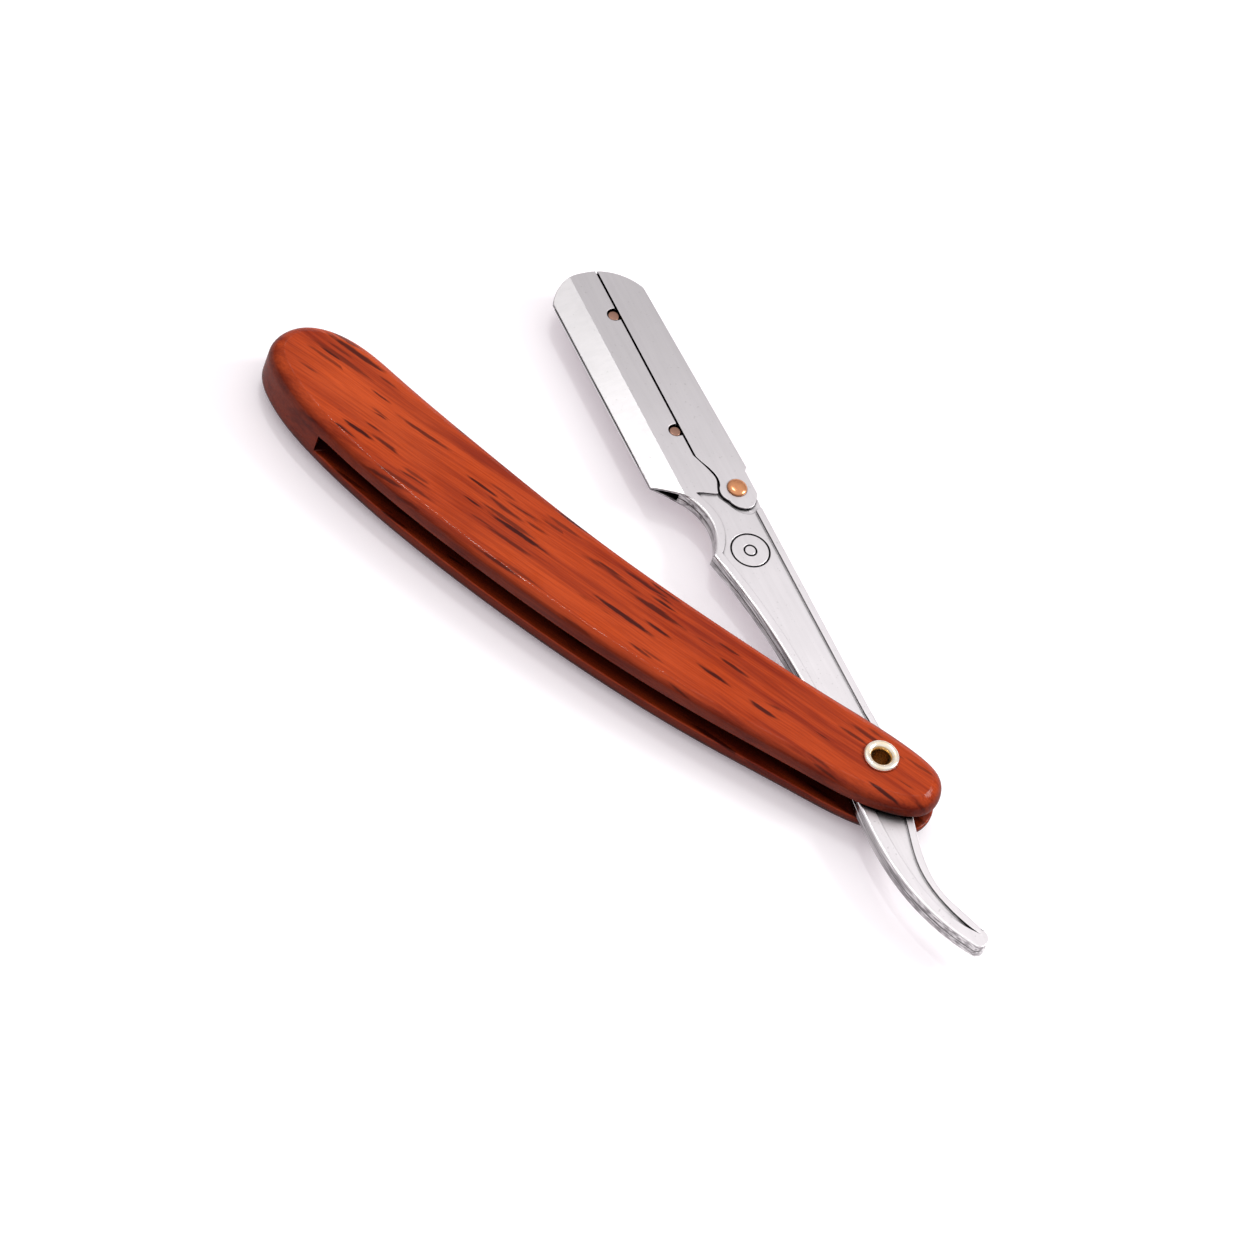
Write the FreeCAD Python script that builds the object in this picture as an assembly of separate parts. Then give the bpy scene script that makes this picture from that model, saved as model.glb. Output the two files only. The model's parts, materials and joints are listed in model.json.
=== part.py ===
"""Folding barber's razor for half blades: a wooden handle, a two-part steel arm and a spine clip.

The razor lies on its side. The origin is on the pivot's axis, half way between the two halves of
the arm. +Z is up, along the pivot; the handle runs towards -X, and the blade's edge faces it.
Everything on the arm is drawn in the arm's own frame (u along the arm, v towards the edge) and
then turned to where the arm stands open.
"""
import FreeCAD
import Part
import math
import os

V = FreeCAD.Vector
UP = V(0, 0, 1)

# --- driving dimensions, in millimetres and degrees ---
# handle
HANDLE_T = 11.8            # thickness through both cheeks
HANDLE_ROUND = 3.0         # rounding of the long edges
SLOT_W = 4.3               # width of the saw cut that takes the arm
TIP_CLEAR = 0.7            # room left between the arm's nose and the end of the slot
END_WOOD = 16.94           # wood from the end of the slot to the handle's broad end

# arm
REST_ANGLE = 144.0         # direction of the arm from the pivot at rest
ARM_T = 3.3                # thickness through both halves
PARTING = 0.16             # gap between the halves
PANEL_PLAY = 0.05          # how far the pressed panel lies below the clip's leg
LAND_PLAY = 0.2            # play under the clip's leg where the back of the head is set down
WEB_T = 0.6                # sheet left under the panel
HEAD_SHEET_T = 0.45        # sheet over the hollow of the head
RAIL_ROUND = 0.4           # rounding of the arm's outer edges
PIVOT_BOSS_R = 7.0         # solid metal round the pivot
EDGE_V = 12.95             # guard edge of the head
EDGE_HALF_T = 0.33         # half thickness at the guard edge
BEVEL_V = 7.95             # where the bevel meets the flat
SEAM_V = 2.35              # line where the clip's leg meets the flat
SEAM_GAP = 0.4             # width of that joint
SPINE_V = -5.2             # straight back of the arm
HEAD_U0 = 69.0             # heel end of the guard edge
NOSE_U = 116.85            # foremost point of the head
NOSE_V = 5.0               # how far that point stands towards the edge
NOSE_RUN = 4.45            # from the toe of the guard edge to the nose

# clip
CLIP_SHEET = 0.45          # thickness of the legs
CLIP_WEB = 0.5             # thickness of the back
CLIP_PLAY = 0.08           # gap between the clip's back and the halves
CLIP_U0 = 67.8             # where the clip's back starts
CLIP_SHORT = 6.95          # how far short of the nose it ends
CLIP_BEND = 0.4            # outer bend radius

# pivot eyelet
EYELET_TUBE_R = 2.1
EYELET_BORE_R = 1.6
EYELET_FLANGE_R = 3.35
EYELET_FLANGE_H = 0.75
EYELET_FUNNEL_R = 2.35     # radius of the flared mouth
EYELET_FUNNEL_L = 1.4      # depth of the flare
PIVOT_PLAY = 0.05

# rivet and pins
RIVET_UV = (63.9, -2.35)
RIVET_R = 1.1
RIVET_HEAD_R = 1.9
RIVET_HEAD_H = 0.75
RIVET_RIM_H = 0.15         # straight rim below the dome
RIVET_SEAT = 0.03          # play between a rivet head and the clip
PIN_U = (79.0, 106.4)
PIN_CLEAR = 0.15           # from the clip's leg to a pin
PIN_R = 1.05
PIN_PLAY = 0.3             # side play of the front half's holes on the pins
PIN_SINK = 0.3             # how far the pins stop below the flat
NOTCH_PLAY = 0.3           # side play of the front half's notches on the rivet

# half blade
BLADE_T = 0.1
BLADE_L = 43.0
BLADE_W = 11.0
BLADE_EDGE_L = 37.3
BLADE_CORNER = 2.2         # notch at each corner, where the edge is not ground
BLADE_SLOT_W = 0.8
BLADE_PROUD = 0.25         # how far the cutting edge stands past the guard edge

# engraved rings on the panel
RING_UV = (50.7, 1.05)
RING_RADII = (3.8, 1.3)
RING_LINE = 0.3
RING_DEPTH = 0.12

# --- values that follow from them ---
HALF_T = ARM_T / 2
INNER_Z = PARTING / 2
LEG_Z = HALF_T - CLIP_SHEET
PANEL_Z = LEG_Z - PANEL_PLAY
LAND_Z = LEG_Z - LAND_PLAY
LEG_V = SEAM_V - SEAM_GAP / 2      # edge of the clip's leg
FLAT_V = SEAM_V + SEAM_GAP / 2     # edge of the halves' flat beside it
PIN_V = LEG_V + PIN_CLEAR + PIN_R
BEVEL_SLOPE = (HALF_T - EDGE_HALF_T) / (EDGE_V - BEVEL_V)
HANDLE_Z = HANDLE_T / 2
PIN_HOLE_R = PIN_R + PIN_PLAY
HEAD_U1 = NOSE_U - NOSE_RUN
CLIP_U1 = NOSE_U - CLIP_SHORT
SLOT_R = math.hypot(NOSE_U, NOSE_V) + TIP_CLEAR


# --- drawing helpers ---
def pt(p, z=0.0):
    return V(p[0], p[1], z)


def line(a, b):
    return Part.LineSegment(pt(a), pt(b)).toShape()


def arc(a, b, c):
    return Part.Arc(pt(a), pt(b), pt(c)).toShape()


def curve(points, closed=False):
    """A smooth curve through the points."""
    spline = Part.BSplineCurve()
    spline.interpolate([pt(p) for p in points], PeriodicFlag=closed)
    return spline.toShape()


def slab(edges, z0, z1):
    """The closed outline made into a plate from z0 to z1."""
    face = Part.Face(Part.Wire(edges))
    face.translate(V(0, 0, z0))
    return face.extrude(V(0, 0, z1 - z0))


def polygon(points, z0, z1):
    ends = points[1:] + points[:1]
    return slab([line(a, b) for a, b in zip(points, ends)], z0, z1)


def disc(uv, r, z0, z1):
    return Part.makeCylinder(r, z1 - z0, pt(uv, z0), UP)


def ring(uv, r_in, r_out, z0, z1):
    return disc(uv, r_out, z0, z1).cut(disc(uv, r_in, z0, z1))


def mirrored(shape):
    """The same shape below the parting plane."""
    return shape.mirror(V(0, 0, 0), UP)


def spin(edges):
    """A closed outline, drawn with the radius as its first size, turned about the Z axis."""
    face = Part.Face(Part.Wire(edges))
    face.rotate(V(0, 0, 0), V(1, 0, 0), 90)
    return face.revolve(V(0, 0, 0), UP, 360)


# --- outlines of the arm, in its own frame ---
def back_v(u):
    """The halves' back edge under the clip, which narrows towards the nose."""
    heel_v, toe_v = -5.8, -4.55
    return heel_v + (toe_v - heel_v) * (u - CLIP_U0) / (CLIP_U1 - CLIP_U0)


NOSE_LOW = (CLIP_U1 + 0.5, -5.1)   # where the nose meets the back
NOSE_MID = (NOSE_U - 1.75, -1.1)
NOSE_TOP = (NOSE_U, NOSE_V)
NECK_TOP = (51.3, 8.55)        # corner between the shank and the neck
TAIL_EDGE = (-39.4, -1.25)
TAIL_BACK = (-37.2, -4.3)
SHANK_END = (12.0, SPINE_V)


def neck_curve():
    return curve([(65.2, 8.1), (62.4, 6.6), (58.6, 5.75), (54.6, 6.45), NECK_TOP])


def arm_outline():
    """Outline of one half, from the pivot along the back to the nose and home along the edge."""
    step = (CLIP_U1, back_v(CLIP_U1))
    return [
        line(SHANK_END, (58.0, SPINE_V)),
        line((58.0, SPINE_V), (CLIP_U0, back_v(CLIP_U0))),
        line((CLIP_U0, back_v(CLIP_U0)), step),
        line(step, NOSE_LOW),
        arc(NOSE_LOW, NOSE_MID, NOSE_TOP),
        arc(NOSE_TOP, (NOSE_U - 0.85, EDGE_V - 3.45), (HEAD_U1, EDGE_V)),
        line((HEAD_U1, EDGE_V), (HEAD_U0, EDGE_V)),
        arc((HEAD_U0, EDGE_V), (HEAD_U0 - 1.8, EDGE_V - 2.55), (65.2, 8.1)),
        neck_curve(),
        curve([NECK_TOP, (38.0, 6.0), (21.0, 4.65), (5.0, 5.2), (-10.0, 6.4), (-22.5, 5.7),
               (-32.0, 2.9), TAIL_EDGE]),
        arc(TAIL_EDGE, (-39.8, -3.0), TAIL_BACK),
        curve([TAIL_BACK, (-32.0, -2.4), (-27.0, -0.6), (-22.5, -0.3), (-16.0, -1.3),
               (-8.0, -3.3), (2.0, -4.9), SHANK_END]),
    ]


PANEL_TOP = (65.0, 5.7)
PANEL_HEM_V = -3.75            # the panel's straight side, along the back
PANEL_TAIL = (-37.0, -3.0)
PANEL_NECK = (51.3, 6.75)


def panel_outline():
    """The pressed panel of the shank. Its top end runs on below the clip's ear."""
    hem_start = (12.0, PANEL_HEM_V)
    hem_end = (RIVET_UV[0], PANEL_HEM_V)
    under_ear = (RIVET_UV[0], 0.0)
    return [
        line(under_ear, hem_end),
        line(hem_end, hem_start),
        curve([hem_start, (0.0, -3.2), (-12.6, -0.6), (-21.8, 1.25), (-29.0, 0.35), PANEL_TAIL]),
        curve([PANEL_TAIL, (-31.5, 0.8), (-26.8, 2.4), (-20.3, 3.5), (-8.0, 3.9), (5.0, 3.3),
               (21.0, 2.8), (38.0, 4.2), PANEL_NECK]),
        curve([PANEL_NECK, (55.0, 4.4), (59.0, 3.8), (62.5, 4.65), PANEL_TOP]),
        curve([PANEL_TOP, (64.4, 3.64), (63.8, 2.0), under_ear]),
    ]


# --- outlines of the clip ---
def clip_in_v(u):
    return back_v(u) - CLIP_PLAY


def clip_out_v(u):
    return clip_in_v(u) - CLIP_WEB


def nose_u(v):
    """Where the nose's lower arc crosses a line along the arm."""
    nose = Part.Arc(pt(NOSE_LOW), pt(NOSE_MID), pt(NOSE_TOP)).toShape().Curve
    return nose.Center.x + math.sqrt(nose.Radius ** 2 - (v - nose.Center.y) ** 2)


def leg_outline():
    """One leg of the clip, with the ear that holds the rivet."""
    lug = (72.5, LEG_V)
    tip = (nose_u(LEG_V), LEG_V)
    waist = (65.3, 0.55)
    brow = (61.7, 0.2)
    chin = (61.8, -5.6)
    jaw = (67.2, -5.6)
    heel = (CLIP_U0, clip_out_v(CLIP_U0))
    toe = (CLIP_U1, clip_out_v(CLIP_U1))
    return [
        line(lug, tip),
        arc(tip, NOSE_MID, NOSE_LOW),
        line(NOSE_LOW, toe),
        line(toe, heel),
        line(heel, jaw),
        line(jaw, chin),
        curve([chin, (60.0, -4.4), (59.2, -3.1), (59.3, -2.0), (60.2, -0.55), brow]),
        arc(brow, (63.6, 1.15), waist),
        curve([waist, (66.6, 0.22), (68.6, 0.5), (70.6, 1.35), lug]),
    ]


def land_outline():
    """The part of a half that is set down to take the clip's leg and ear."""
    beyond_u, beyond_v = NOSE_U + 3.0, SPINE_V - 3.0
    lug = (72.9, FLAT_V)
    brow = (63.0, 1.65)
    foot = (58.6, -4.2)
    return [
        line((beyond_u, FLAT_V), lug),
        curve([lug, (70.9, 1.75), (68.7, 0.95), (66.6, 0.65), (64.9, 1.3), brow]),
        curve([brow, (60.8, 0.37), (59.0, -0.91), (58.2, -2.4), foot]),
        line(foot, (foot[0], beyond_v)),
        line((foot[0], beyond_v), (beyond_u, beyond_v)),
        line((beyond_u, beyond_v), (beyond_u, FLAT_V)),
    ]


# --- the halves of the arm ---
def bevel_z(v, below=0.0):
    """Height of the bevel's face, or of a face lying below it."""
    return HALF_T - below - BEVEL_SLOPE * (v - BEVEL_V)


def prism(section, u0, u1):
    """A (v, z) outline carried along the arm."""
    wire = Part.makePolygon([V(u0, v, z) for v, z in section + section[:1]])
    return Part.Face(wire).extrude(V(u1 - u0, 0, 0))


def bevel_cutter():
    out_v, top_z = EDGE_V + 2.0, HALF_T + 1.0
    section = [(BEVEL_V, HALF_T), (out_v, bevel_z(out_v)), (out_v, top_z), (BEVEL_V, top_z)]
    return prism(section, HEAD_U0 - 6.0, NOSE_U + 1.0)


def head_hollow():
    """The space under the sheet of the head, open at the heel."""
    floor_z = 0.0
    end_v = BEVEL_V + (HALF_T - HEAD_SHEET_T) / BEVEL_SLOPE
    hollow_v = PIN_V + PIN_HOLE_R + 0.3
    top_z = bevel_z(BEVEL_V, HEAD_SHEET_T)
    section = [(hollow_v, floor_z), (hollow_v, top_z), (BEVEL_V, top_z), (end_v, floor_z)]
    return prism(section, HEAD_U0 - 3.2, HEAD_U1)


def shank_hollow():
    """The channel between the flanges of the shank, clear of the pivot."""
    u0, u1 = PIVOT_BOSS_R, RIVET_UV[0] - RIVET_HEAD_R
    reach = 20.0
    window = polygon([(u0, -reach), (u1, -reach), (u1, reach), (u0, reach)], 0, HALF_T)
    return slab(panel_outline(), 0, PANEL_Z - WEB_T).common(window)


def notch(u, v, r):
    """A round hole that runs out through the back, so that the half can swing off its pin."""
    run_v = SPINE_V - 3.0
    slot = polygon([(u - r, run_v), (u + r, run_v), (u + r, v), (u - r, v)], 0, HALF_T + 1)
    return slot.fuse(disc((u, v), r, 0, HALF_T + 1))


def half_blank():
    """What both halves share, drawn above the parting plane."""
    top = HALF_T + 1
    blank = slab(arm_outline(), INNER_Z, HALF_T)
    blank = rounded(blank)
    cutters = [
        bevel_cutter(),
        slab(land_outline(), LAND_Z, top),
        slab(panel_outline(), PANEL_Z, top),
        head_hollow(),
        shank_hollow(),
        disc((0, 0), EYELET_TUBE_R + PIVOT_PLAY, 0, top),
    ]
    return blank.cut(cutters)


def rounded(blank):
    """The outer edges of the shank and tail, eased; the tail's blunt end is left square."""
    edges = [e for e in blank.Edges
             if e.BoundBox.ZMin > HALF_T - 0.01 and e.BoundBox.XMin < HEAD_U0 - 4.0
             and e.CenterOfMass.x > TAIL_EDGE[0] + 1.0]
    return blank.makeFillet(RAIL_ROUND, edges)


def front_half():
    half = half_blank()
    cutters = [notch(u, PIN_V, PIN_HOLE_R) for u in PIN_U]
    cutters.append(notch(*RIVET_UV, RIVET_R + NOTCH_PLAY))
    for r in RING_RADII:
        cutters.append(ring(RING_UV, r - RING_LINE, r, PANEL_Z - RING_DEPTH, HALF_T))
    return half.cut(cutters)


def back_half():
    top = HALF_T + 1
    holes = [disc((u, PIN_V), PIN_R, 0, top) for u in PIN_U]
    holes.append(disc(RIVET_UV, RIVET_R, 0, top))
    return mirrored(half_blank().cut(holes))


# --- the clip and what holds the halves together ---
def spine_clip():
    """A strip folded over the back of both halves, with an ear each side of the rivet."""
    leg = slab(leg_outline(), LEG_Z, HALF_T)
    back = polygon([(u, edge(u)) for u, edge in ((CLIP_U0, clip_out_v), (CLIP_U1, clip_out_v),
                                                 (CLIP_U1, clip_in_v), (CLIP_U0, clip_in_v))],
                   -HALF_T, HALF_T)
    clip = leg.fuse([mirrored(leg), back]).removeSplitter()
    middle = (CLIP_U0 + CLIP_U1) / 2
    bends = [e for e in clip.Edges
             if e.BoundBox.XLength > 40 and abs(e.CenterOfMass.y - clip_out_v(middle)) < 0.05]
    clip = clip.makeFillet(CLIP_BEND, bends)
    return clip.cut(disc(RIVET_UV, RIVET_R + PIVOT_PLAY, -HALF_T - 1, HALF_T + 1))


def clip_rivet():
    """A rivet with a domed head outside each leg of the clip."""
    seat_z = HALF_T + RIVET_SEAT
    rim_z = seat_z + RIVET_RIM_H
    rise = RIVET_HEAD_H - RIVET_RIM_H
    dome_r = (RIVET_HEAD_R ** 2 + rise ** 2) / (2 * rise)
    half_way = math.asin(RIVET_HEAD_R / dome_r) / 2
    shoulder = (dome_r * math.sin(half_way), rim_z + rise - dome_r * (1 - math.cos(half_way)))
    head = spin([
        line((0, seat_z), (RIVET_HEAD_R, seat_z)),
        line((RIVET_HEAD_R, seat_z), (RIVET_HEAD_R, rim_z)),
        arc((RIVET_HEAD_R, rim_z), shoulder, (0, rim_z + rise)),
        line((0, rim_z + rise), (0, seat_z)),
    ])
    shank = disc((0, 0), RIVET_R, -seat_z, seat_z)
    rivet = shank.fuse([head, mirrored(head)]).removeSplitter()
    rivet.translate(pt(RIVET_UV))
    return rivet


def blade_pin(u):
    return disc((u, PIN_V), PIN_R, -HALF_T + PIN_SINK, HALF_T - PIN_SINK)


def half_blade():
    """Half of a double-edged blade, seated on the pins by the half-holes of its snapped side."""
    mid_u = sum(PIN_U) / 2
    edge_v = EDGE_V + BLADE_PROUD
    snap_v = edge_v - BLADE_W
    corner_v = edge_v - BLADE_CORNER
    z0 = -INNER_Z
    z1 = z0 + BLADE_T
    end, edge = BLADE_L / 2, BLADE_EDGE_L / 2
    half = [(end, snap_v), (end, corner_v), (edge, corner_v), (edge, edge_v)]
    right = [(mid_u + du, v) for du, v in half]
    left = [(mid_u - du, v) for du, v in reversed(half)]
    hole_r = PIN_V + PIN_R - snap_v + 0.02
    slot = polygon([(PIN_U[0], snap_v - 1), (PIN_U[1], snap_v - 1),
                    (PIN_U[1], snap_v + BLADE_SLOT_W), (PIN_U[0], snap_v + BLADE_SLOT_W)], z0, z1)
    holes = [disc((u, snap_v), hole_r, z0, z1) for u in PIN_U]
    return polygon(right + left, z0, z1).cut([slot] + holes)


# --- the pivot and the handle ---
def pivot_eyelet():
    """A hollow rivet: a tube with a rolled, flared rim on each cheek."""
    crest_z = HANDLE_Z + EYELET_FLANGE_H
    crest_r = (EYELET_FUNNEL_R + EYELET_FLANGE_R) / 2
    throat_z = crest_z - EYELET_FUNNEL_L
    rim_z = HANDLE_Z + 0.1
    crest = (crest_r, crest_z)
    throat = (EYELET_BORE_R, throat_z)
    flare = (EYELET_BORE_R + 0.28 * (crest_r - EYELET_BORE_R), crest_z - 0.3 * EYELET_FUNNEL_L)
    roll = (EYELET_FLANGE_R - 0.12, HANDLE_Z + 0.72 * EYELET_FLANGE_H)
    rim = (EYELET_FLANGE_R, rim_z)
    foot = (EYELET_FLANGE_R - 0.1, HANDLE_Z)
    flange = spin([
        line((EYELET_BORE_R, 0), throat),
        arc(throat, flare, crest),
        arc(crest, roll, rim),
        line(rim, foot),
        line(foot, (EYELET_TUBE_R, HANDLE_Z)),
        line((EYELET_TUBE_R, HANDLE_Z), (EYELET_TUBE_R, 0)),
        line((EYELET_TUBE_R, 0), (EYELET_BORE_R, 0)),
    ])
    return flange.fuse(mirrored(flange)).removeSplitter()


def handle_outline():
    """The handle seen along the pivot: a hollow front, a full belly and a broad rounded end that
    keeps its distance from the end of the slot."""
    points = [
        (4.5, 6.5), (-12.0, 7.0), (-38.0, 7.8), (-62.0, 9.8), (-90.0, 14.2), (-112.0, 18.8),
        (-125.0, 20.5), (-133.0, 16.6), (-134.6, 9.8), (-130.0, 4.6), (-117.3, -1.0), (-90.3, -6.7),
        (-62.0, -9.9), (-35.0, -10.75), (-10.0, -9.7), (5.5, -7.7), (12.4, -2.8), (11.6, 3.6),
    ]
    drawn_reach = 134.6
    stretch = (SLOT_R + END_WOOD) / drawn_reach
    return [curve([(x * stretch if x < 0 else x, y) for x, y in points], closed=True)]


def handle():
    body = slab(handle_outline(), -HANDLE_Z, HANDLE_Z)
    rims = [e for e in body.Edges if e.BoundBox.ZLength < 0.01]
    body = body.makeFillet(HANDLE_ROUND, rims)
    slot = Part.makeCylinder(SLOT_R, SLOT_W, V(0, 0, -SLOT_W / 2), UP)
    return body.cut([slot, disc((0, 0), EYELET_TUBE_R, -HANDLE_T, HANDLE_T)])


def main():
    on_arm = {
        "front_arm": front_half(),
        "back_arm": back_half(),
        "spine_clip": spine_clip(),
        "clip_rivet": clip_rivet(),
        "heel_pin": blade_pin(PIN_U[0]),
        "toe_pin": blade_pin(PIN_U[1]),
        "half_blade": half_blade(),
    }
    for shape in on_arm.values():
        shape.rotate(V(0, 0, 0), UP, REST_ANGLE)
    parts = {"handle": handle(), "pivot_eyelet": pivot_eyelet(), **on_arm}
    os.makedirs("parts", exist_ok=True)
    for name, shape in parts.items():
        print(f"{name}: {len(shape.Solids)} solid, valid {shape.isValid()}, {shape.Volume:.1f} mm3")
        shape.exportStep(f"parts/{name}.step")


if __name__ == "__main__":
    main()
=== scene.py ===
"""The looks of a folding straight razor: its wooden handle, pressed steel arm, clip, rivets, pins
and half blade."""

import json
import math

import bmesh
import bpy
import numpy as np
from mathutils import Matrix, Vector


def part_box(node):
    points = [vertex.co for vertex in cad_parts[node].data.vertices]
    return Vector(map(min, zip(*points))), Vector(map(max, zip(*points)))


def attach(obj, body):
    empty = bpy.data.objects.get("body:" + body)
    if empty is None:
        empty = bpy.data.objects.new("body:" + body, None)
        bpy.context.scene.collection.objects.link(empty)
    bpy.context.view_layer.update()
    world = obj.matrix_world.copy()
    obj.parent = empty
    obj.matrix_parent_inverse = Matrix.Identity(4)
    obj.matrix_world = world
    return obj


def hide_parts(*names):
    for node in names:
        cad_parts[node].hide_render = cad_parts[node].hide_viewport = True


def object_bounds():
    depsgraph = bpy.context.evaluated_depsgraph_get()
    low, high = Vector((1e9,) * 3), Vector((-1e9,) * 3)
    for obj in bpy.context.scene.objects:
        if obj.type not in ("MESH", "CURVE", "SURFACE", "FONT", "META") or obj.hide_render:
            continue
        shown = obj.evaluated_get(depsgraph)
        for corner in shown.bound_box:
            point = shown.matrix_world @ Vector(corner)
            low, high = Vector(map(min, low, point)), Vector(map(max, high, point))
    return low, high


bl_info = {
    "name": "Straight razor",
    "version": (1, 0, 0),
    "blender": (4, 5, 0),
    "location": "View3D > Sidebar > Razor",
    "description": "Shapes and finishes for a folding straight razor with a wooden handle",
    "category": "Object",
}

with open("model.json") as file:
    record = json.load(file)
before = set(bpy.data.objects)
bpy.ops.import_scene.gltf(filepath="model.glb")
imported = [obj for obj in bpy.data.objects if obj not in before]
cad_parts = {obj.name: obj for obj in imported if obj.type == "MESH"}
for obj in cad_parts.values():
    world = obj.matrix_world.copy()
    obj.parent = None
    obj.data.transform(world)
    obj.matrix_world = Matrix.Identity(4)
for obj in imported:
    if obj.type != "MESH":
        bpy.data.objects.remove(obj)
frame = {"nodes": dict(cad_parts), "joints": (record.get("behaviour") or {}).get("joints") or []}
CAD_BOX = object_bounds()
MM = 0.001
ARM_DIRECTION = 144.0    # degrees from +X to the arm, seen from above, from its pivot to its nose


def clip_pivot():
    """The rivet's place, which is where the clip's joint is."""
    joint = next(j for j in frame["joints"] if j["name"] == "clip_swing")
    return Vector(joint["pos_m"])


# --- settings ---
def length(name, description, default):
    return bpy.props.FloatProperty(name=name, description=description, default=default,
                                   subtype="DISTANCE", unit="LENGTH", precision=5)


def share(name, description, default):
    return bpy.props.FloatProperty(name=name, description=description, default=default,
                                   min=0.0, max=1.0, subtype="FACTOR")


def colour(name, description, default):
    return bpy.props.FloatVectorProperty(name=name, description=description, default=default,
                                         size=3, min=0.0, max=1.0, subtype="COLOR")


def angle(name, description, degrees):
    return bpy.props.FloatProperty(name=name, description=description,
                                   default=math.radians(degrees), subtype="ANGLE")


def point(name, description, default):
    return bpy.props.FloatVectorProperty(name=name, description=description, default=default,
                                         subtype="XYZ", unit="LENGTH", precision=5)


class HandleSettings(bpy.types.PropertyGroup):
    slot_width: length("Slot width", "Gap between the two cheeks", 4.3 * MM)
    slot_reach: length("Slot reach", "From the pivot to the slot's closed end", 117.65 * MM)
    rim_round: length("Rim rounding", "Easing of the slot's rims", 0.35 * MM)
    round_middle: length("Shoulder, middle", "Rounding of the long edges at mid length", 2.2 * MM)
    round_ends: length("Shoulder, ends", "Rounding of the edges at both ends", 3.1 * MM)
    crown: length("Crown", "How much the cheek rises from its shoulder to its middle", 0.12 * MM)
    hole_radius: length("Pivot hole", "Radius of the hole that the eyelet fills", 2.1 * MM)
    ridge: angle("Ridge", "Turn left in the shoulder where it meets the cheek's flat", 27.0)
    ridge_soft: length("Ridge easing", "Easing of that ridge", 0.16 * MM)
    grain_follow: share("Grain follow", "How much the grain follows the handle's bend", 0.15)
    grain_turn: angle("Grain turn", "How far the grain leans across the handle", 3.5)
    wood: colour("Wood", "Colour of the open wood", (0.395, 0.048, 0.0095))
    wood_light: colour("Light wood", "Colour of the lightest patches", (0.56, 0.085, 0.018))
    wood_dark: colour("Dark bands", "Colour of the wood's darker bands", (0.215, 0.0185, 0.0055))
    pore: colour("Pores", "Colour of the dark pore streaks", (0.032, 0.0030, 0.0030))


class SteelSettings(bpy.types.PropertyGroup):
    ease: length("Edge easing", "Width of the eased edges", 0.09 * MM)
    satin: colour("Satin steel", "Colour of the flat faces at the nose", (0.50, 0.482, 0.492))
    ground: colour("Ground steel", "Colour of the bevels", (0.47, 0.457, 0.462))
    bright: colour("Bright steel", "Colour of the polished edges", (0.62, 0.61, 0.615))
    flange_at: point("Neck", "Middle of the neck's curved flange", (-53.2 * MM, 28.8 * MM, 0.0))
    # lighter pivot end: partly its polish and partly a painted sheen
    polish_and_sheen: bpy.props.FloatProperty(name="Polish", default=1.55, min=1.0, max=2.0,
                                    description="How much lighter the pivot's end is than the nose")
    engraving: colour("Engraving", "Colour of the engraved rings", (0.012, 0.012, 0.013))
    ring_at: point("Ring centre", "Centre of the engraved rings", (-41.63 * MM, 28.95 * MM, 0.0))
    ring_outer: length("Outer ring", "Middle radius of the outer engraved line", 3.65 * MM)
    ring_inner: length("Inner ring", "Middle radius of the inner engraved line", 1.15 * MM)
    ring_line: length("Line width", "Width of the blackened lines", 0.36 * MM)


class FittingSettings(bpy.types.PropertyGroup):
    bore: length("Eyelet bore", "Radius of the hole through the eyelet", 1.6 * MM)
    crest: length("Eyelet crest", "Radius at which the eyelet's rim is highest", 2.75 * MM)
    flare: length("Eyelet flare", "Depth over which the bore widens to the crest", 1.4 * MM)
    bare: length("Bare brass", "How far past the bore the plating has worn away", 0.42 * MM)
    shank: length("Rivet shank", "Radius of the rivet between its heads", 1.1 * MM)
    seat: length("Rivet seat", "Height of the head's underside over the arm's middle", 1.68 * MM)
    rim: length("Rivet rim", "Height of the head's upright edge", 0.15 * MM)
    pin_edge: length("Pin edge", "Rounding of the pins' edges", 0.14 * MM)
    nickel: colour("Eyelet rim", "Colour of the plated rim", (0.86, 0.82, 0.72))
    brass: colour("Eyelet throat", "Colour of the brass inside the eyelet", (0.80, 0.56, 0.26))
    brass_tarnish: colour("Throat tarnish", "Colour of tarnish on the brass", (0.22, 0.12, 0.05))
    copper: colour("Rivet", "Colour of the rivet", (0.64, 0.29, 0.14))
    copper_tarnish: colour("Rivet tarnish", "Colour of tarnish on the rivet", (0.42, 0.17, 0.08))
    dull_copper: colour("Pins", "Colour of the pins", (0.30, 0.17, 0.125))
    pin_tarnish: colour("Pin tarnish", "Colour of tarnish on the pins", (0.20, 0.11, 0.08))


class StageSettings(bpy.types.PropertyGroup):
    azimuth: angle("Azimuth", "Direction that the camera looks in", 10.6)
    elevation: angle("Elevation", "Height of the camera above the floor, as an angle", 51.63)
    roll: angle("Roll", "Turn of the camera about its line of sight", 22.8)
    distance: length("Distance", "From the camera to its aim", 1.45)
    focal: bpy.props.FloatProperty(name="Focal length", description="Focal length in millimetres",
                                   default=234.92, unit="CAMERA")
    aim: point("Aim", "The point that the camera looks at", (-0.0522, -0.00637, 0.00874))
    floor: colour("Floor", "Colour of the floor", (0.93, 0.925, 0.93))
    glow: share("Glow", "Strength of the light that comes through the floor from below", 0.15)
    glow_tint: colour("Glow tint", "Colour of the light through the floor", (1.0, 0.82, 0.93))
    low_sky: colour("Low light", "Colour of the room's light from near the floor",
                    (0.40, 0.355, 0.385))
    high_sky: colour("High light", "Colour of the room's light from above", (1.0, 0.985, 0.99))
    room: bpy.props.FloatProperty(name="Room light", description="Strength of the room's light",
                                  default=1.12, min=0.0, max=4.0)


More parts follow.
